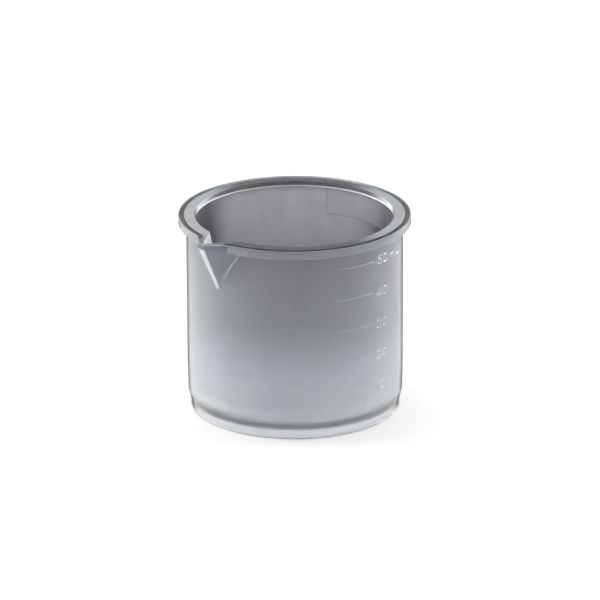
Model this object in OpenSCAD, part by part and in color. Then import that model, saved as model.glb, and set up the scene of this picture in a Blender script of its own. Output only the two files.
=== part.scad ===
// Low-form graduated beaker with a pouring spout: one injection moulding in
// translucent polypropylene, drawn as the separate zones of that moulding.
// Millimetres, +Z up. The origin is on the cup's axis, at the surface it stands on.

/* [Cup] */
// Overall height
height = 43.2; // [30:0.1:160]
// Outer diameter of the straight side wall
body_diameter = 46.6; // [36:0.1:150]
// Thickness of the side wall
wall = 2; // [1:0.1:4]
// Height at which the wall starts to narrow towards the foot
narrowing_height = 9.5; // [8:0.1:20]
// How much the radius narrows by the top of the foot
narrowing = 0.14; // [0:0.01:0.4]

/* [Floor and foot] */
// Height of the cup's floor above the table
floor_level = 3; // [2:0.1:4.5]
// Thickness of the floor
floor_thickness = 1; // [0.6:0.1:1.6]
// Radius of the fillet between floor and wall
floor_fillet = 1.6; // [0.5:0.1:3]
// Height of the foot
foot_height = 4.7; // [3.5:0.1:7.5]
// How much the radius tapers from the top of the foot to its edge
foot_taper = 0.7; // [0.1:0.05:1]
// Height of the rounded edge that the beaker stands on
bead_height = 0.3; // [0.15:0.05:0.8]
// How much that edge stands out of the foot
bead_flare = 0.1; // [0:0.05:0.3]

/* [Rim] */
// Height of the rim
rim_height = 1.75; // [1.2:0.05:4]
// Width of the flat land around the mouth
land_width = 2.4; // [2.2:0.1:4]
// Width of the groove outside the land
groove_width = 1; // [0.5:0.05:2]
// Depth of the groove
groove_depth = 0.6; // [0.2:0.05:1]
// Thickness of the lip outside the groove
lip_width = 0.3; // [0.2:0.05:1]
// Width of the bevel on the land's inner edge
bevel_width = 0.15; // [0.05:0.05:0.4]
// Height of that bevel
bevel_height = 1; // [0.3:0.05:1.1]

/* [Spout] */
// Direction of the spout, from +X counter-clockwise
spout_angle = 225; // [0:1:359]
// How far the spout reaches past the rim
spout_reach = 3; // [1:0.1:8]
// Width of the blunt nose
nose_width = 2; // [1.2:0.1:4]
// Height of the nose's upright front
nose_height = 1; // [0.4:0.1:3]
// Half the spout's width where it leaves the wall
spout_half_span = 7.7; // [6.5:0.1:14]
// Depth of the spout below the rim's top
spout_drop = 10.5; // [6:0.1:16]
// Thickness of the spout's wall at the nose
spout_wall = 0.9; // [0.6:0.05:1.5]
// Half the width of the channel where it leaves the cup
channel_half_width = 4.3; // [3:0.1:5]
// Half the width of the solid bridge at the nose, where the rim's groove stops
bridge_half_width = 3.4; // [2.6:0.1:4.5]

/* [Scale] */
// Height of the lowest graduation line
first_line_height = 9.75; // [8:0.05:16]
// Depth of the highest graduation line below the rim's top
last_line_depth = 5.29; // [3:0.01:12]
// Height of a line on the wall
line_thickness = 0.3; // [0.2:0.05:0.6]
// How far the lines and the panel stand out of the wall
relief = 0.15; // [0.1:0.01:0.25]
// Direction in which the lines start, from +X counter-clockwise
scale_angle = -67.5; // [-120:0.5:0]
// Angle that each line covers
line_angle = 22.5; // [10:0.5:60]

/* [Marking panel] */
// Angle that the bare panel opposite the spout covers
panel_sweep = 51; // [20:1:120]
// Height of the panel below the rim
panel_height = 5.5; // [2:0.1:10]

/* [Hidden] */
$fn = 180;
body_r = body_diameter / 2;
inner_r = body_r - wall;
land_r = inner_r + land_width;
lip_r = land_r + groove_width;
rim_r = lip_r + lip_width;
rim_base = height - rim_height;
groove_floor = height - groove_depth;
foot_r = body_r - narrowing;
toe_r = foot_r - foot_taper;
floor_base = floor_level - floor_thickness;
nose_r = rim_r + spout_reach;
keel_half_width = 0.6;
zone_drop = spout_drop * 1.17;
zone_end = 0.9;
zone_margin = 0.4;
zone_span = spout_half_span + zone_margin;
channel_end = 0.2;
channel_nose = nose_r - spout_wall;
// how far the channel's floor comes in for each millimetre of depth
keel_slope = (nose_r - body_r) / (spout_drop - nose_height);
line_spacing = (height - last_line_depth - first_line_height) / 4;
over = 1;
panel_top = rim_base;

// a ring about the cup's axis
module ring(outer, inner, z0, z1) {
    rotate_extrude() translate([inner, z0]) square([outer - inner, z1 - z0]);
}

// the wedge-shaped zone that belongs to the spout, right through wall and rim
module spout_zone(above) {
    span = zone_span + above * (zone_span - zone_end) / zone_drop;
    rotate([0, 0, spout_angle]) rotate([90, 0, 90])
        linear_extrude(height = nose_r + over)
            polygon([[-zone_end, height - zone_drop], [zone_end, height - zone_drop],
                     [span, height + above], [-span, height + above]]);
}

// a solid sector of the outer wall, from angle a over sweep s
module wall_patch(z0, z1, a, s) {
    rotate([0, 0, a]) rotate_extrude(angle = s)
        translate([body_r, z0]) square([relief, z1 - z0]);
}

module side_wall() {
    color([0.80, 0.82, 0.84]) difference() {
        rotate_extrude() polygon([[inner_r, foot_height], [foot_r, foot_height],
                                  [body_r, narrowing_height], [body_r, rim_base],
                                  [inner_r, rim_base]]);
        spout_zone(over);
    }
}

module cup_floor() {
    color([0.76, 0.78, 0.80]) rotate_extrude() difference() {
        translate([0, floor_base])
            square([inner_r, floor_thickness + floor_fillet]);
        translate([-over, floor_level + floor_fillet])
            square([inner_r + over - floor_fillet, over]);
        translate([-over, floor_level])
            square([inner_r + over - floor_fillet, floor_fillet]);
        translate([inner_r - floor_fillet, floor_level + floor_fillet])
            circle(r = floor_fillet);
    }
}

module foot_skirt() {
    color([0.84, 0.86, 0.88]) rotate_extrude()
        polygon([[inner_r, bead_height], [toe_r, bead_height],
                 [toe_r + 0.1 * foot_taper, foot_height * 0.25],
                 [toe_r + 0.5 * foot_taper, foot_height * 0.52],
                 [foot_r, foot_height * 0.83], [foot_r, foot_height],
                 [inner_r, foot_height]]);
}

module foot_edge() {
    color([0.88, 0.89, 0.91]) rotate_extrude()
        polygon([[inner_r, 0], [toe_r, 0], [toe_r + bead_flare, bead_height * 0.35],
                 [toe_r + bead_flare, bead_height * 0.65], [toe_r, bead_height],
                 [inner_r, bead_height]]);
}

module rim_land() {
    color([0.86, 0.88, 0.90]) difference() {
        rotate_extrude() polygon([[inner_r, rim_base], [land_r, rim_base],
                                  [land_r, height], [inner_r + bevel_width, height],
                                  [inner_r, height - bevel_height]]);
        spout_zone(over);
    }
}

module rim_flange() {
    color([0.74, 0.76, 0.79]) difference() {
        ring(rim_r, land_r, rim_base, groove_floor);
        spout_zone(over);
    }
}

module rim_lip() {
    color([0.90, 0.91, 0.93]) difference() {
        ring(rim_r, lip_r, groove_floor, height);
        spout_zone(over);
    }
}

// the spout's outer faces: a blunt upright nose, a narrow keel and two flat flanks
module spout_block() {
    back = inner_r / 2;
    side = body_r * 0.944;
    top = height + over;
    base = height - spout_drop;
    n = nose_width / 2;
    s = spout_half_span;
    k = keel_half_width;
    rotate([0, 0, spout_angle]) polyhedron(
        points = [[back, -s, top], [side, -s, top], [nose_r, -n, top],
                  [nose_r, n, top], [side, s, top], [back, s, top],
                  [back, -s, height], [side, -s, height], [nose_r, -n, height - nose_height],
                  [nose_r, n, height - nose_height], [side, s, height], [back, s, height],
                  [back, -k, base], [body_r, -k, base], [body_r, k, base], [back, k, base]],
        faces = [[5, 4, 3, 2, 1, 0], [0, 1, 7, 6], [1, 2, 8, 7], [2, 3, 9, 8],
                 [3, 4, 10, 9], [4, 5, 11, 10], [0, 6, 12, 15, 11, 5],
                 [6, 7, 13, 12], [7, 8, 13], [8, 9, 14, 13], [9, 10, 14],
                 [10, 11, 15, 14], [12, 13, 14, 15]]);
}

// the open channel inside the spout
module spout_channel() {
    back = inner_r / 2;
    tip = channel_nose + over * keel_slope;
    flare = (channel_half_width - channel_end) / (channel_nose - inner_r);
    mouth = channel_end + (tip - back) * flare;
    base = height + over - (tip - back) / keel_slope;
    rotate([0, 0, spout_angle]) polyhedron(
        points = [[back, -mouth, height + over], [tip, -channel_end, height + over],
                  [tip, channel_end, height + over], [back, mouth, height + over],
                  [back, -channel_end, base], [back, channel_end, base]],
        faces = [[3, 2, 1, 0], [1, 2, 5, 4], [0, 1, 4], [2, 3, 5], [0, 4, 5, 3]]);
}

// the spout's plan behind its two wings, moved in from their edges by inset
module wings(inset) {
    side = body_r * 0.944;
    n = nose_width / 2;
    run = [nose_r - side, spout_half_span - n];
    along = norm(run);
    tip = [nose_r - inset * run[1] / along, n - inset * run[0] / along];
    root = tip - 1.4 * [run[0], -run[1]];
    polygon([[0, 0], [root[0], -root[1]], [tip[0], -tip[1]], tip, root]);
}

// the rim's groove, carried on along the wings up to the bridge at the nose
module spout_groove() {
    rotate([0, 0, spout_angle]) translate([0, 0, groove_floor])
        linear_extrude(height = groove_depth + over) difference() {
            union() {
                circle(r = lip_r);
                wings(lip_width);
            }
            circle(r = land_r);
            wings(lip_width + groove_width);
            translate([0, -bridge_half_width]) square([nose_r, 2 * bridge_half_width]);
        }
}

module pouring_spout() {
    color([0.82, 0.84, 0.86]) difference() {
        intersection() {
            spout_zone(0);
            union() {
                spout_block();
                rotate_extrude() polygon([[0, 0], [body_r, 0], [body_r, rim_base],
                                          [rim_r, rim_base], [rim_r, height + over],
                                          [0, height + over]]);
            }
        }
        translate([0, 0, -over]) cylinder(r = inner_r, h = height + 2 * over);
        spout_channel();
        spout_groove();
    }
}

module marking_panel() {
    color([0.83, 0.85, 0.87])
        wall_patch(panel_top - panel_height, panel_top,
                   spout_angle - 180 - panel_sweep / 2, panel_sweep);
}

module graduation(i) {
    color([0.92, 0.93, 0.94])
        wall_patch(first_line_height + i * line_spacing - line_thickness / 2,
                   first_line_height + i * line_spacing + line_thickness / 2,
                   scale_angle, line_angle);
}

module graduation_10() { graduation(0); }
module graduation_20() { graduation(1); }
module graduation_30() { graduation(2); }
module graduation_40() { graduation(3); }
module graduation_50() { graduation(4); }

side_wall();
cup_floor();
foot_skirt();
foot_edge();
rim_land();
rim_flange();
rim_lip();
pouring_spout();
marking_panel();
graduation_10();
graduation_20();
graduation_30();
graduation_40();
graduation_50();
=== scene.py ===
import math
import bpy
import numpy as np
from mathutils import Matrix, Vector


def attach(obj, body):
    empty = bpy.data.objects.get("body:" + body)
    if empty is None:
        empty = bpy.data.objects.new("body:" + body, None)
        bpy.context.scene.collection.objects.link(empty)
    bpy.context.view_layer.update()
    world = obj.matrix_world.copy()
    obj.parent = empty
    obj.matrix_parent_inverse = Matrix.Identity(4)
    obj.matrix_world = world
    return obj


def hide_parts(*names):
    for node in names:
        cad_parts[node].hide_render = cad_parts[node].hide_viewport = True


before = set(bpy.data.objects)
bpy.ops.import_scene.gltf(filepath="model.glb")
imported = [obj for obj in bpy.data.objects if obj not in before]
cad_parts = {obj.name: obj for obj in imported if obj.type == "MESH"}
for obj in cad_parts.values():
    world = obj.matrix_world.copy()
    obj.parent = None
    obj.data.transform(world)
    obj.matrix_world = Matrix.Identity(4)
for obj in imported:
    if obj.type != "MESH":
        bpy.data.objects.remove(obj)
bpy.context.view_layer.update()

MM = 0.001

# sizes in millimetres and degrees, the same as in the part's source
H = 43.2                                       # height
BODY_R, WALL = 23.3, 2.0                       # outside of the wall, its thickness
INNER_R = BODY_R - WALL
RIM_R, RIM_H = 25.0, 1.75
RIM_BASE = H - RIM_H
LIP, GROOVE, GROOVE_D = 0.3, 1.0, 0.6          # widths of lip and groove, groove's depth
BEVEL_W, BEVEL_H = 0.15, 1.0
NARROW_Z, NARROW = 9.5, 0.14                   # below this height the wall narrows by this
FOOT_H, FOOT_TAPER = 4.7, 0.7
FLOOR_Z, FLOOR_T, FILLET = 3.0, 1.0, 1.6       # cup's floor: top, thickness, fillet
SPOUT_AZ, SPAN, DROP = 225.0, 7.7, 10.5        # spout: direction, half its span, its height
SPOUT_ROOT = BODY_R * 0.944                    # how far out its wings leave the rim
NOSE_R, NOSE_W, NOSE_H = 28.0, 1.0, 1.0        # blunt nose: reach, half width, height
KEEL_W = 0.6                                   # keel's lower end, half width
CHANNEL_NOSE, CHANNEL_END, CHANNEL_W = 27.1, 0.2, 4.3   # reach, half widths at nose and cup
RELIEF = 0.15                                  # height of panel and lines
PANEL_AZ, PANEL_SWEEP, PANEL_H = 45.0, 51.0, 5.5
LINE_Z, LINE_STEP, LINE_T = 9.75, 7.04, 0.3    # lowest line, spacing, thickness
LINE_START, LINE_SWEEP = -67.5, 22.5

# small roundings and insets of the dressed shape, in millimetres
EDGE_R = 0.08                                  # edges at the top of the rim
HEM_R = 0.2                                    # lower edge of the rim
LEDGE_R = 0.3                                  # corners under the rim and under the floor
MOUTH_BLEND, WALL_BLEND, RIM_BLEND = 0.25, 0.5, 0.6   # where the spout meets cup, wall, rim
NOSE_BLEND, FLANK_BLEND, THROAT_BLEND = 0.25, 0.18, 0.3
BEAD = 0.1                                     # how far the toe bead stands out
BRIDGE = (7.2, 8.6)                            # degrees from the nose where the groove sets in
SPOUT_REACH = 0.7                              # radians from the nose beyond which it has ended
SINK, DIP = 0.08, 0.03                         # back and outer edge of the raised marks


# ---------------------------------------------------------------- material

FINE_GRAIN, WIDE_GRAIN = 3200, 260
# painted shade by height: where the tone above the lower wall and near the rim sets in
WALL_SHADE_HEIGHTS, TOP_SHADE_HEIGHTS = (0.009, 0.026), (0.028, 0.042)   # heights in metres where tone changes
# painted light and shade round the cup: ALL_ROUND keeps front, back and sides alike
ALL_ROUND = (1.0, 0.5, 0.9)
# painted dark outline where the surface is seen edge-on: where it starts, where it ends, how
# dark it gets
EDGE = (0.69, 0.88, 0.95)
PLASTIC_IOR = 1.49
SMOOTH = {"interpolation_type": "SMOOTHSTEP"}


def node_tree(name):
    """A new material, its node tree and its shader."""
    mat = bpy.data.materials.new(name)
    mat.use_nodes = True
    return mat, mat.node_tree, mat.node_tree.nodes["Principled BSDF"]


def node(nt, kind, inputs=(), **properties):
    """A new node: its inputs as pairs of place and value or socket, and its properties."""
    new = nt.nodes.new("ShaderNode" + kind)
    for key, value in properties.items():
        setattr(new, key, value)
    for place, value in inputs:
        if isinstance(value, bpy.types.NodeSocket):
            nt.links.new(value, new.inputs[place])
        else:
            new.inputs[place].default_value = value
    return new


def calc(nt, operation, *values):
    return node(nt, "Math", enumerate(values), operation=operation).outputs[0]


def fade(nt, value, start, end, low, high, **properties):
    """From low to high while a value goes from start to end."""
    return node(nt, "MapRange", enumerate((value, start, end, low, high)),
                **properties).outputs[0]


def polypropylene(name, colour, rough, clear, milk=0.0005, edge=EDGE, high=1.0, top=1.0,
                  across=ALL_ROUND, shine=0.5, grain=0.05, coat=0.0, dull_edge=False):
    """Hazy natural polypropylene: a clear share and a milky one, a fine grain, painted light and
    shade.

    milk is how far light spreads inside, in metres. high and top are painted shade and light by
    height: the tone above the lower wall and near the rim. across is painted light and shade
    round
    the cup: the tone at the front and back, with the shares of the way round to the side where
    it starts and ends to change. edge is a painted dark outline: how flat the view is where the
    surface starts to go dark and where it ends, and how dark it gets, the clear share going down
    with it;
    with dull_edge it loses its gloss there too.
    """
    mat, nt, shader = node_tree(name)
    for socket, value in (("Roughness", rough), ("IOR", PLASTIC_IOR),
                          ("Specular IOR Level", shine), ("Subsurface Weight", 1.0),
                          ("Subsurface Radius", (1, 1, 1)), ("Subsurface Scale", milk),
                          ("Coat Weight", coat), ("Coat IOR", 1.9), ("Coat Roughness", 0.2)):
        shader.inputs[socket].default_value = value
    at = node(nt, "TexCoord").outputs["Object"]
    fine = node(nt, "TexNoise", [(0, at), (2, FINE_GRAIN), (3, 3)]).outputs[0]
    wide = node(nt, "TexNoise", [(0, at), (2, WIDE_GRAIN), (3, 2)]).outputs[0]
    speckle = calc(nt, "MULTIPLY_ADD", fine, 0.6, wide)
    height = node(nt, "SeparateXYZ", [(0, at)]).outputs[2]
    level = node(nt, "VectorMath", [(0, at), (1, (1, 1, 0))], operation="MULTIPLY").outputs[0]
    way = node(nt, "VectorMath", [(0, level)], operation="NORMALIZE").outputs[0]
    # how far round to the side a point lies, for the painted light and shade round the cup
    side = calc(nt, "ABSOLUTE", node(nt, "SeparateXYZ", [(0, way)]).outputs[0])
    # painted dark outline: darker and less clear where the surface is seen edge-on
    facing = node(nt, "LayerWeight", [(0, 0.5)]).outputs["Facing"]
    keep = calc(nt, "SUBTRACT", 1.0, fade(nt, facing, *edge[:2], 0.0, edge[2], **SMOOTH))
    tone = fade(nt, speckle, 0.5, 1.1, 1 - grain, 1 + grain)
    # painted light and shade by height and round the cup, and the painted dark outline, scale
    # the grain's tone
    for other in (fade(nt, height, *WALL_SHADE_HEIGHTS, 1.0, high, **SMOOTH),
                  fade(nt, height, *TOP_SHADE_HEIGHTS, 1.0, top),
                  fade(nt, side, *across[1:], across[0], 1.0, **SMOOTH), keep):
        tone = calc(nt, "MULTIPLY", tone, other)
    base = node(nt, "VectorMath", [(0, colour), (3, tone)], operation="SCALE").outputs[0]
    bump = node(nt, "Bump", [("Strength", 0.08), ("Distance", 0.00005), ("Height", fine)])
    nt.links.new(base, shader.inputs["Base Color"])
    nt.links.new(calc(nt, "MULTIPLY", clear, keep), shader.inputs["Transmission Weight"])
    nt.links.new(bump.outputs["Normal"], shader.inputs["Normal"])
    if dull_edge:
        nt.links.new(calc(nt, "MULTIPLY", shine, keep), shader.inputs["Specular IOR Level"])
    return mat


# each surface of the moulding: tone, roughness, share that is clear, and what else differs;
# the tones are lit and shaded copies of one polypropylene, with painted shade and painted
# highlights
SURFACES = {
    "floor": (0.97, 0.72, 0.6, {}),
    # inside, panel and outline: painted shade by height, far darker above the lower wall and
    # less so near the rim
    "inside": (0.66, 0.66, 0.78, {"high": 0.205, "top": 2.7, "grain": 0.14,
                                  "edge": (0.25, 0.55, 0.7)}),
    "panel": (0.62, 0.66, 0.78, {"high": 0.205, "top": 2.7, "grain": 0.08,
                                 "edge": (0.35, 0.65, 0.6)}),
    # outline: painted shade, a darker band on the inside wall behind the panel's edges
    "outline": (0.45, 0.5, 0.7, {"high": 0.205, "top": 2.0}),
    "channel": (0.9, 0.4, 0.5, {}),
    # step: painted highlight, a bright line along the lower edge of the bevel
    "step": (0.98, 0.3, 0.0, {"milk": 0.0002}),
    # bevel: painted highlight on the rim's inner edge, lighter at the sides than at the front
    # and back
    "bevel": (0.95, 0.3, 0.1, {"across": (0.22, 0.75, 1.0), "shine": 0.2}),
    # land: painted light at the sides, painted shade at the front and back
    "land": (0.31, 0.25, 0.1, {"across": (0.15, 0.5, 0.9), "shine": 0.1}),
    # groove: painted shade in the recess
    "groove": (0.1, 0.5, 0.1, {"grain": 0.4, "shine": 0.2}),
    # lip_wall: painted shade in the groove, darker at the sides than at the front and back
    "lip_wall": (0.2, 0.3, 0.2, {"across": (3.2, 0.5, 0.9), "shine": 0.2}),
    "lip": (0.3, 0.3, 0.2, {"shine": 0.3, "edge": (0.9, 1.0, 0.5)}),
    "flange": (0.62, 0.2, 0.5, {}),
    # hem: painted highlight, a light line along the rim's lower rounded edge
    "hem": (0.95, 0.3, 0.3, {"milk": 0.0002}),
    # outside: painted shade by height, darker above the lower wall and darker again near the rim
    "outside": (0.91, 0.3, 0.67, {"high": 0.87, "top": 0.68}),
    # flank: painted shade on the spout's flat faces, with the painted shade by height
    "flank": (0.72, 0.3, 0.6, {"high": 0.87, "top": 0.72}),
    # crease: painted highlight, a light streak where the spout's flank meets the wall
    "crease": (0.97, 0.3, 0.3, {}),
    # keel: painted highlight, a pale strip along the spout's ridge with no clear share
    "keel": (0.72, 0.2, 0.0, {"coat": 0.5, "milk": 0.002}),
    "foot": (0.9, 0.3, 0.91, {}),
    # toe: painted dark outline along the edge it stands on, darker at the sides than at the
    # front and back
    "toe": (0.33, 0.3, 0.3, {"across": (2.2, 0.5, 0.9), "milk": 0.0002}),
    "under": (0.97, 0.41, 0.9, {}),
}
COOL, WARM, PLAIN = (0.955, 0.99, 1.045), (1.0, 1.0, 1.035), (0.98, 0.99, 1.01)
TINTS = {"inside": WARM, "panel": WARM, "outline": WARM, "foot": PLAIN, "toe": PLAIN}
DULL_EDGES = ("inside", "panel", "flange", "outside", "flank", "foot")
FINISH = {surface: polypropylene("polypropylene_" + surface,
                                 [min(tone * t, 1.0) for t in TINTS.get(surface, COOL)],
                                 rough, clear, dull_edge=surface in DULL_EDGES, **more)
          for surface, (tone, rough, clear, more) in SURFACES.items()}
RAISED = {"milk": 0.0001, "shine": 0.3, "edge": (0.9, 1.0, 0.0)}
# numerals: the raised strokes catch light by their shape, and their paler, less clear finish
# adds painted highlight; numerals and lines carry the painted shade by height too
NUMERAL = polypropylene("polypropylene_numerals", (0.94, 0.96, 0.99), 0.3, 0.1, high=0.84,
                        **RAISED)
LINE = polypropylene("polypropylene_lines", (0.92, 0.95, 0.98), 0.3, 0.6, high=0.93, **RAISED)


# ---------------------------------------------------------------- shape of the moulding

def around(theta, azimuth):
    """Angle from an azimuth in degrees, in radians between minus pi and pi."""
    return (theta - math.radians(azimuth) + math.pi) % (2 * math.pi) - math.pi


def arc(cx, cz, r, a0, a1, n):
    angles = [math.radians(a0 + (a1 - a0) * i / n) for i in range(n + 1)]
    return [(cx + r * math.cos(a), cz + r * math.sin(a)) for a in angles]


def ramp(x, a, b):
    t = np.clip((x - a) / (b - a), 0, 1)
    return t * t * (3 - 2 * t)


def smax(a, b, k):
    """The larger of two, rounded over where they are less than k apart."""
    h = np.maximum(k - np.abs(a - b), 0.0) / k
    return np.maximum(a, b) + h * h * k / 4.0


def smin(a, b, k):
    return -smax(-a, -b, k)


def plane(p, q, s):
    """Outward plane through three points: normal and distance."""
    n = np.cross(np.subtract(q, p), np.subtract(s, p))
    n = n / np.linalg.norm(n)
    d = float(np.dot(n, p))
    return (n, d) if d > 0 else (-n, -d)


# the spout's flat faces, with its nose on the first axis; the other half mirrors this one
KEEL_SLOPE = (NOSE_R - BODY_R) / (DROP - NOSE_H)
FLANK = plane((NOSE_R, NOSE_W, H - NOSE_H), (BODY_R, KEEL_W, H - DROP), (SPOUT_ROOT, SPAN, H))
WING = plane((NOSE_R, NOSE_W, 0), (SPOUT_ROOT, SPAN, 0), (NOSE_R, NOSE_W, 1))
CHANNEL_RUN = CHANNEL_NOSE - INNER_R
FLARE = (CHANNEL_W - CHANNEL_END) / CHANNEL_RUN
THROAT = plane((CHANNEL_NOSE, CHANNEL_END, H),
               (INNER_R, CHANNEL_END, H - CHANNEL_RUN / KEEL_SLOPE),
               (INNER_R, CHANNEL_END + CHANNEL_RUN * FLARE, H))


def reach(face, phi, z):
    """How far out a face of the spout lies at angle phi from its middle."""
    n, d = face
    return (d - n[2] * z) / np.maximum(n[0] * np.cos(phi) + n[1] * np.abs(np.sin(phi)), 1e-6)


def block_r(phi, z):
    """Outside of the spout at angle phi from its middle."""
    keel = (NOSE_R - KEEL_SLOPE * np.maximum(H - NOSE_H - z, -5)) / np.cos(phi)
    r = smin(NOSE_R / np.cos(phi), keel, NOSE_BLEND)
    r = smin(r, reach(FLANK, phi, z), FLANK_BLEND)
    r = smin(r, reach(WING, phi, z), FLANK_BLEND)
    return np.where(np.abs(phi) < SPOUT_REACH, r, 0.0)


def channel_r(phi, z):
    """Inside of the spout at angle phi from its middle."""
    keel = (CHANNEL_NOSE - KEEL_SLOPE * (H - z)) / np.cos(phi)
    r = smin(keel, reach(THROAT, phi, z), THROAT_BLEND)
    return np.where(np.abs(phi) < SPOUT_REACH, r, 0.0)


def outer_profile(z):
    """Radius of the outside below the rim."""
    body, toe = BODY_R - NARROW, BODY_R - NARROW - FOOT_TAPER
    points = ((0, toe + 0.02), (0.05, toe + 0.07), (0.12, toe + BEAD), (0.2, toe + 0.08),
              (0.3, toe), (1.18, toe + 0.07), (2.44, toe + 0.35), (3.4, toe + 0.56),
              (3.9, body), (FOOT_H, body), (NARROW_Z, BODY_R), (H, BODY_R))
    return np.interp(z, *zip(*points))


class Section:
    """The moulding's closed section, row by row from the cup's floor round to its underside."""

    def __init__(self, theta):
        self.theta, self.phi = theta, around(theta, SPOUT_AZ)
        self.rows, self.zones = [], []

    def add(self, r, z):
        """A row: radius and height at every angle theta."""
        self.rows.append([np.broadcast_to(value, self.theta.shape) for value in (r, z)])

    def end(self, zone):
        """The faces that start at the rows so far belong to this surface."""
        self.zones.append((zone, len(self.rows)))

    def mouth(self, r, z):
        self.add(smax(r + 0 * self.phi, channel_r(self.phi, z), MOUTH_BLEND), z)

    def rim(self, r, z):
        self.add(smax(r + 0 * self.phi, block_r(self.phi, z), RIM_BLEND), z)


def cup(section):
    """The cup's floor, its fillet, the inside wall and the bevel at the mouth."""
    for r in (0.001, 1.5, 3, 5, 7.5, 10, 12.5, 15, 17, 18.5):
        section.add(r, FLOOR_Z)
    for r, z in arc(INNER_R - FILLET, FLOOR_Z + FILLET, FILLET, -90, 0, 10):
        section.add(r, z)
    section.end("floor")
    for z in (*np.arange(FLOOR_Z + FILLET + 1.5, H - 12.6, 1.5),
              *np.arange(H - 12.2, H - BEVEL_H - 0.3, 0.25)):
        section.mouth(INNER_R, z)
    section.end("inside")
    low = H - BEVEL_H
    for r, z in ((0, low - 0.2), (0, low - 0.06), (0.015, low), (0.05, low + 0.05)):
        section.mouth(INNER_R + r, z)
    section.end("step")
    for r, z in ((0.055, low + 0.1), (0.1, H - 0.6), (BEVEL_W, H - 0.25), (BEVEL_W, H - EDGE_R)):
        section.mouth(INNER_R + r, z)
    section.end("bevel")


def rim(section):
    """The rim's land, groove and lip, its outer face and the ledge under it."""
    phi = section.phi
    inner = smax(INNER_R + BEVEL_W + 0 * phi, channel_r(phi, H), MOUTH_BLEND)
    outer = smax(RIM_R + 0 * phi, block_r(phi, H), RIM_BLEND)
    # widths hold square to the edge, and get less where the rim narrows along the wings
    slant = np.sqrt(1 + (np.gradient(outer, section.theta) / outer) ** 2)
    share = np.minimum(1.0, 0.7 * (outer - inner) / ((LIP + GROOVE) * slant))
    depth = GROOVE_D * ramp(np.abs(np.degrees(phi)), *BRIDGE)

    def inset(width):
        return outer - width * slant * share

    def groove_side(edge, way):
        """From an edge of the groove down to its floor, which lies outward or inward."""
        return ((edge - way * 0.015, H - 0.015),
                (edge, H - np.minimum(0.05, depth)),
                (edge, H - np.maximum(depth - 0.12, 0)),
                (edge + way * 0.035, H - np.maximum(depth - 0.035, 0)),
                (edge + way * 0.12, H - depth))

    for a in (60, 30, 0):
        section.add(inner + EDGE_R * (1 - math.sin(math.radians(a))),
                    H - EDGE_R * (1 - math.cos(math.radians(a))))
    land, lip = inset(LIP + GROOVE), inset(LIP)
    for share_out in (0.12, 0.3, 0.5, 0.7, 0.9):
        section.add(inner + EDGE_R + (land - 0.07 - inner - EDGE_R) * share_out, H)
    section.add(land - 0.05, H)
    near, far = groove_side(land, 1), groove_side(lip, -1)
    section.add(*near[0])
    section.end("land")
    for row in near[1:]:
        section.add(*row)
    section.add(inset(LIP + GROOVE / 2), H - depth)
    section.end("groove")
    for row in reversed(far):
        section.add(*row)
    section.end("lip_wall")
    section.add(lip + 0.05, H)
    for r, z in arc(-EDGE_R, H - EDGE_R, EDGE_R, 90, 0, 3):
        section.add(outer + r, z)
    section.end("lip")
    for drop in (0.3, 0.6, 0.8, 1.0, 1.2, 1.4, 1.52):
        section.rim(RIM_R, H - drop)
    section.end("flange")
    for r, z in arc(RIM_R - HEM_R, RIM_BASE + HEM_R, HEM_R, 0, -90, 6)[1:]:
        section.rim(r, z)
    section.end("hem")
    for r, z in ((RIM_R - 0.5, RIM_BASE), (BODY_R + 0.6, RIM_BASE),
                 *arc(BODY_R + LEDGE_R, RIM_BASE - LEDGE_R, LEDGE_R, 90, 180, 5)):
        section.rim(r, z)
    section.end("flange")


def outside(section):
    """The outside wall and foot, with the bare panel standing out opposite the spout."""
    from_end = PANEL_SWEEP / 2 - np.abs(np.degrees(around(section.theta, PANEL_AZ)))
    raised_by = RELIEF * ramp(from_end, -0.12, 0.12)
    low = RIM_BASE - PANEL_H
    heights = {*np.round(np.arange(H - 12.6, RIM_BASE - 0.4, 0.25), 3), low - 0.06, low,
               low + 0.06, *np.round(np.arange(NARROW_Z, H - 13, 1.6), 3), 8.0, 6.5, 5.4, FOOT_H,
               4.3, 3.9, 3.65, 3.4, 2.9, 2.44, 1.8, 1.18, 0.7, 0.4, 0.3, 0.25, 0.2, 0.16, 0.12,
               0.08, 0.05, 0.02}
    for z in sorted(heights, reverse=True):
        if z == FOOT_H:
            section.end("outside")
        elif z == 0.25:
            section.end("foot")
        r = outer_profile(z) + raised_by * ramp(z, low - 0.05, low + 0.05)
        section.add(smax(r, block_r(section.phi, z), WALL_BLEND), z)
    section.end("toe")


def underside(section):
    """The edge it stands on, the inside of the foot and the floor's underside."""
    toe = outer_profile(0.02)
    for r, z in ((toe - 0.05, 0), (toe - 0.4, 0), (INNER_R + 0.3, 0), (INNER_R + 0.08, 0),
                 (INNER_R + 0.02, 0.02), (INNER_R, 0.08), (INNER_R, 0.5), (INNER_R, 1.0),
                 (INNER_R, 1.5)):
        section.add(r, z)
    section.end("foot ring")
    under = FLOOR_Z - FLOOR_T
    for r, z in arc(INNER_R - LEDGE_R, under - LEDGE_R, LEDGE_R, 0, 90, 5):
        section.add(r, z)
    for r in (19, 16, 12, 8, 4, 1.5, 0.001):
        section.add(r, under)
    section.end("under")


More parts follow.
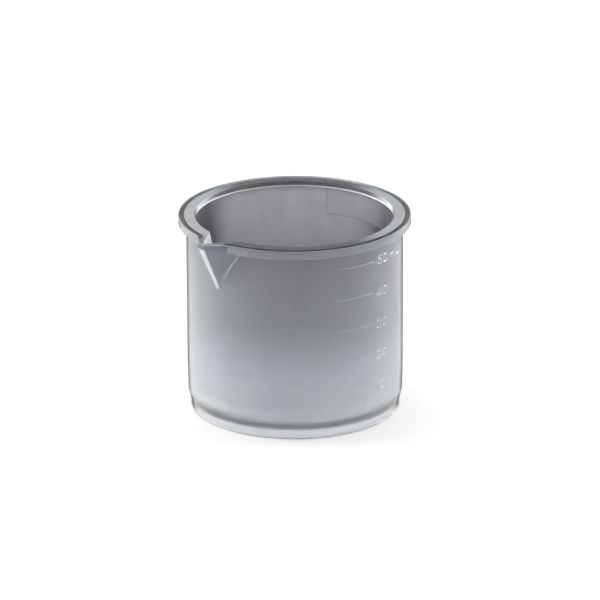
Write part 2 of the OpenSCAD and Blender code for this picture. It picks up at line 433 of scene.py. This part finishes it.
def spout_and_panel(theta, r, z):
    """Places with a finish of their own: its name, the surfaces it may lie on, and where."""
    phi = around(theta, SPOUT_AZ)
    block = block_r(phi, z)
    keel = KEEL_W + (NOSE_W - KEEL_W) * (z - H + DROP) / (DROP - NOSE_H) - EDGE_R
    past_end = np.abs(np.degrees(around(theta, PANEL_AZ))) - PANEL_SWEEP / 2
    up = z - RIM_BASE + PANEL_H
    on_panel = (past_end < 0) & (up > 0)
    on_outline = ((np.abs(past_end) < 0.3) & (up > 0)) | ((np.abs(up) < 0.13) & (past_end < 0))
    return (
        ("panel", "inside", on_panel),
        ("outline", "inside panel", on_outline),
        ("flank", "flange hem outside", block > r - 0.1),
        ("crease", "outside flank", (np.abs(block - outer_profile(z)) < 0.15) & (z > H - 8)),
        ("keel", "flange hem outside flank crease",
         (np.abs(phi) * r < keel) & (r > BODY_R + 0.05) & (z < H - NOSE_H)),
        ("channel", "inside step bevel", channel_r(phi, z) > r - 0.1))


def new_object(name, points, faces):
    """A smooth mesh from points in millimetres."""
    mesh = bpy.data.meshes.new(name)
    mesh.from_pydata((points * MM).tolist(), [], faces)
    mesh.update()
    mesh.shade_smooth()
    ob = bpy.data.objects.new(name, mesh)
    bpy.context.scene.collection.objects.link(ob)
    return ob


def revolve(name, section):
    """The section's rows joined all round, each face with its surface's finish."""
    theta, rows = section.theta, section.rows
    n, m = len(theta), len(rows)
    r, z = np.array(rows).transpose(1, 0, 2)
    points = np.stack([r * np.cos(theta), r * np.sin(theta), z], -1)
    i, j = np.meshgrid(np.arange(m - 1), np.arange(n), indexing="ij")
    k = (j + 1) % n
    faces = np.stack([i * n + j, (i + 1) * n + j, (i + 1) * n + k, i * n + k], -1)
    faces = faces.reshape(-1, 4).tolist()
    faces += [list(range(n)), list(range((m - 1) * n, m * n))[::-1]]
    ob = new_object(name, points.reshape(-1, 3), faces)
    # whole bands of faces first, then the places on the spout and the panel
    bands = np.zeros((m - 1, n), dtype=np.int32)
    names, start = [], 0
    for surface, stop in section.zones:
        bands[start:stop] = len(names)
        names.append(surface.split()[0])
        start = stop
    for surface, owners, where in spout_and_panel(theta, r[:-1], z[:-1]):
        may_be = [index for index, owner in enumerate(names) if owner in owners.split()]
        bands[where & np.isin(bands, may_be)] = len(names)
        names.append(surface)
    for surface in names:
        ob.data.materials.append(FINISH[surface])
    caps = [0, len(section.zones) - 1]
    ob.data.polygons.foreach_set("material_index", np.append(bands.ravel(), caps))
    return ob


def spread_angles():
    """The shell's columns in radians, close together at the spout and the panel's ends."""
    half = 26
    angles = [a for a in np.arange(0, 360, 1.5)
              if abs(np.degrees(around(np.radians(a), SPOUT_AZ))) > half]
    angles += list(np.arange(SPOUT_AZ - half, SPOUT_AZ + half + 0.01, 0.26))
    for way in (-1, 1):
        end = PANEL_AZ + way * PANEL_SWEEP / 2
        angles = [a for a in angles if abs(a - end) > 0.5]
        angles += [end + step for step in (-0.4, -0.12, 0, 0.12, 0.4)]
    return np.radians(np.array(sorted(angles)))


section = Section(spread_angles())
for part in (cup, rim, outside, underside):
    part(section)
shell = revolve("moulded_shell", section)
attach(shell, "root")
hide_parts("side_wall", "cup_floor", "foot_skirt", "foot_edge", "rim_land",
            "rim_flange", "rim_lip", "pouring_spout", "marking_panel")


# ---------------------------------------------------------------- raised scale marks

STROKE, TALL, NUMERAL_RELIEF = 0.35, 2.05, 0.7 * RELIEF


def oval(x0, x1, y0, y1, n=40, p=0.8):
    pts = []
    for i in range(n + 1):
        a = 2 * math.pi * i / n
        c, s = math.cos(a), math.sin(a)
        pts.append(((x0 + x1) / 2 + (x1 - x0) / 2 * math.copysign(abs(c) ** p, c),
                    (y0 + y1) / 2 + (y1 - y0) / 2 * math.copysign(abs(s) ** p, s)))
    return pts


def bow(cx, cy, rx, ry, a0, a1, n=18):
    angles = [math.radians(a0 + (a1 - a0) * i / n) for i in range(n + 1)]
    return [(cx + rx * math.cos(a), cy + ry * math.sin(a)) for a in angles]


# strokes of each character's middle line, in a box one wide and one high
GLYPHS = {
    "0": [oval(0, 1, 0, 1)],
    "1": [[(0.0, 0.76), (0.45, 0.84), (0.8, 1.0), (0.8, 0.0)]],
    "2": [bow(0.5, 0.71, 0.47, 0.29, 165, -28) + [(0.0, 0.0), (1.0, 0.0)]],
    "3": [bow(0.47, 0.755, 0.45, 0.245, 160, -90), bow(0.47, 0.255, 0.53, 0.255, 90, -160)],
    "4": [[(0.74, 0.0), (0.74, 1.0), (0.0, 0.27), (1.0, 0.27)]],
    "5": [[(0.93, 1.0), (0.22, 1.0), (0.1, 0.5)] + bow(0.47, 0.33, 0.53, 0.33, 135, -150)],
    "m": [[(0.0, 1.0), (0.0, 0.0)],
          [(0.0, 0.6)] + bow(0.25, 0.72, 0.25, 0.28, 165, 0) + [(0.5, 0.0)],
          [(0.5, 0.6)] + bow(0.75, 0.72, 0.25, 0.28, 165, 0) + [(1.0, 0.0)]],
    "L": [[(0.0, 1.0), (0.0, 0.0), (1.0, 0.0)]],
}
# each label: its characters with their angles round the wall and height, and its rise
LABELS = {
    10: ([("1", -42.2, -40.4, TALL), ("0", -39.5, -35.2, TALL)], -0.4),
    20: ([("2", -42.4, -38.5, TALL), ("0", -37.6, -33.4, TALL)], -0.4),
    30: ([("3", -42.4, -38.5, TALL), ("0", -37.6, -33.4, TALL)], -0.4),
    40: ([("4", -42.4, -38.3, TALL), ("0", -37.4, -33.0, TALL)], -0.35),
    50: ([("5", -41.7, -37.8, TALL), ("0", -37.0, -32.6, TALL),
          ("m", -30.7, -24.7, 1.35), ("L", -23.4, -19.0, TALL)], -0.06),
}


def word(text, z):
    """Strokes of a label that stands on height z."""
    out = []
    for ch, a0, a1, tall in text:
        x0, x1 = BODY_R * math.radians(a0), BODY_R * math.radians(a1)
        x0, x1, y0, y1 = x0 + STROKE / 2, x1 - STROKE / 2, z + STROKE / 2, z + tall - STROKE / 2
        out += [[(x0 + (x1 - x0) * x, y0 + (y1 - y0) * y) for x, y in s] for s in GLYPHS[ch]]
    return out


def raised(name, strokes, width, relief, cell=0.05):
    """A low rounded ridge along strokes of (distance round the wall, height) in mm."""
    ends = np.array([p for s in strokes for p in s])
    pad = width / 2 + 2 * cell
    u, v = np.meshgrid(*(np.arange(ends[:, k].min() - pad, ends[:, k].max() + pad + cell, cell)
                         for k in (0, 1)))
    off = np.full(u.shape, np.inf)
    for stroke in strokes:
        for (ax, ay), (bx, by) in zip(stroke[:-1], stroke[1:]):
            dx, dy = bx - ax, by - ay
            t = np.clip(((u - ax) * dx + (v - ay) * dy) / max(dx * dx + dy * dy, 1e-12), 0, 1)
            off = np.minimum(off, np.hypot(u - ax - t * dx, v - ay - t * dy))
    off = off / (width / 2)
    rise = np.where(off < 1, relief * np.clip(1 - off * off, 0, 1) ** 0.25, -DIP)
    az = u / BODY_R

    def on_wall(above):
        r = outer_profile(v) + above
        return np.stack([r * np.cos(az), r * np.sin(az), v], -1).reshape(-1, 3)

    ny, nx = u.shape
    i, j = np.meshgrid(np.arange(ny - 1), np.arange(nx - 1), indexing="ij")
    front = np.stack([i * nx + j, i * nx + j + 1, (i + 1) * nx + j + 1, (i + 1) * nx + j], -1)
    corners = (off[:-1, :-1], off[:-1, 1:], off[1:, :-1], off[1:, 1:])
    front = front[np.minimum.reduce(corners) < 1]
    # a back just inside the wall, and an edge all round, close the ridge
    edges = np.concatenate([front[:, [k, (k + 1) % 4]] for k in range(4)])
    ahead, back = edges @ (u.size, 1), edges @ (1, u.size)
    a, b = edges[~np.isin(ahead, back)].T
    sides = np.stack([b, a, a + u.size, b + u.size], -1)
    faces = np.concatenate([front, front[:, ::-1] + u.size, sides])
    points = np.concatenate([on_wall(rise), on_wall(-SINK)])
    used, faces = np.unique(faces, return_inverse=True)
    return new_object(name, points[used], faces.reshape(-1, 4).tolist())


for step, (ml, (text, low)) in enumerate(LABELS.items()):
    z = LINE_Z + step * LINE_STEP
    start, stop = (BODY_R * math.radians(a) for a in (LINE_START, LINE_START + LINE_SWEEP))
    line = raised("scale_line_%d" % ml, [[(start + LINE_T / 2, z), (stop - LINE_T / 2, z)]],
                  LINE_T, RELIEF)
    label = raised("numeral_%d" % ml, word(text, z + low - TALL / 2), STROKE, NUMERAL_RELIEF)
    for ob, finish in ((line, LINE), (label, NUMERAL)):
        ob.data.materials.append(finish)
        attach(ob, "root")
    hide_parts("graduation_%d" % ml)


# ---------------------------------------------------------------- floor, lights, camera

PAPER, PAPER_HALF = (0.53, 0.53, 0.53, 1), 1.5   # colour, and half the side in metres
# the paper's own light near the object, and how far out it runs over to plain white
PAPER_GLOW, GLOW_FROM, GLOW_TO = 0.44, 0.25, 0.5
LAMP_D, LAMP_SIZE, LAMP_AIM = 0.6, 0.35, 0.02
# softboxes: azimuth from +X, height angle, power in watts
LAMPS = (
    ("top_box", 0, 90, 1.7),
    ("right_box", 10, 15, 1.7), ("left_box", 170, 15, 2.8),
    ("right_back_box", 35, 15, 2.8), ("left_back_box", 145, 15, 2.1),
    ("front_high_box", -90, 50, 0.26), ("back_high_box", 90, 50, 0.79),
    ("right_front_box", -40, 10, 0.4), ("left_high_box", 180, 50, 0.8),
)
# camera: degrees down and round its axis, metres away, lens in mm, aim below the top in mm
PITCH, ROLL, DIST, LENS, SENSOR, AIM = 20.17, -0.245, 1.1796, 328.3, 36.0, 20.18
SHIFT = (0.0084, 0.00257)
sc = bpy.context.scene
sc.view_settings.view_transform = "Standard"


def seen_directly(nt):
    """1 for rays that show the stage itself: from the camera, or by way of gloss or glass."""
    rays = node(nt, "LightPath").outputs
    seen = calc(nt, "MAXIMUM", rays["Is Camera Ray"], rays["Is Glossy Ray"])
    return calc(nt, "MAXIMUM", seen, rays["Is Transmission Ray"])


mesh = bpy.data.meshes.new("floor")
corners = [(x * PAPER_HALF, y * PAPER_HALF, 0) for x, y in ((-1, -1), (1, -1), (1, 1), (-1, 1))]
mesh.from_pydata(corners, [], [(0, 1, 2, 3)])
floor = bpy.data.objects.new("floor", mesh)
sc.collection.objects.link(floor)
paper, nt, shader = node_tree("floor_paper")
for socket, value in (("Base Color", PAPER), ("Roughness", 0.9), ("Specular IOR Level", 0.0),
                      ("Emission Color", (1, 1, 1, 1))):
    shader.inputs[socket].default_value = value
place = node(nt, "TexCoord").outputs["Object"]
away = node(nt, "VectorMath", [(0, place)], operation="LENGTH").outputs["Value"]
glow = fade(nt, away, GLOW_FROM, GLOW_TO, PAPER_GLOW, 1.0)
nt.links.new(calc(nt, "MULTIPLY", seen_directly(nt), glow), shader.inputs["Emission Strength"])
mesh.materials.append(paper)

world = bpy.data.worlds.new("studio")
sc.world = world
world.use_nodes = True
background = world.node_tree.nodes["Background"]
background.inputs["Color"].default_value = (1, 1, 1, 1)
world.node_tree.links.new(seen_directly(world.node_tree), background.inputs["Strength"])

aim = Vector((0, 0, LAMP_AIM))
for name, azimuth, height, power in LAMPS:
    az, el = math.radians(azimuth), math.radians(height)
    lamp = bpy.data.lights.new(name, "AREA")
    lamp.shape = "RECTANGLE"
    lamp.size = lamp.size_y = LAMP_SIZE
    lamp.energy = power
    ob = bpy.data.objects.new(name, lamp)
    sc.collection.objects.link(ob)
    ob.location = aim + LAMP_D * Vector((math.cos(el) * math.cos(az),
                                         math.cos(el) * math.sin(az), math.sin(el)))
    ob.rotation_euler = (aim - ob.location).to_track_quat("-Z", "Y").to_euler()

cam = bpy.data.objects.new("camera", bpy.data.cameras.new("camera"))
sc.collection.objects.link(cam)
sc.camera = cam
cam.data.lens, cam.data.sensor_width, cam.data.clip_end = LENS, SENSOR, 20
cam.data.shift_x, cam.data.shift_y = SHIFT
down = math.radians(PITCH)
forward = Vector((0, math.cos(down), -math.sin(down)))
cam.location = Vector((0, 0, (H - AIM) * MM)) - forward * DIST
cam.rotation_euler = (math.pi / 2 - down, 0, 0)
cam.rotation_euler.rotate_axis("Z", math.radians(ROLL))
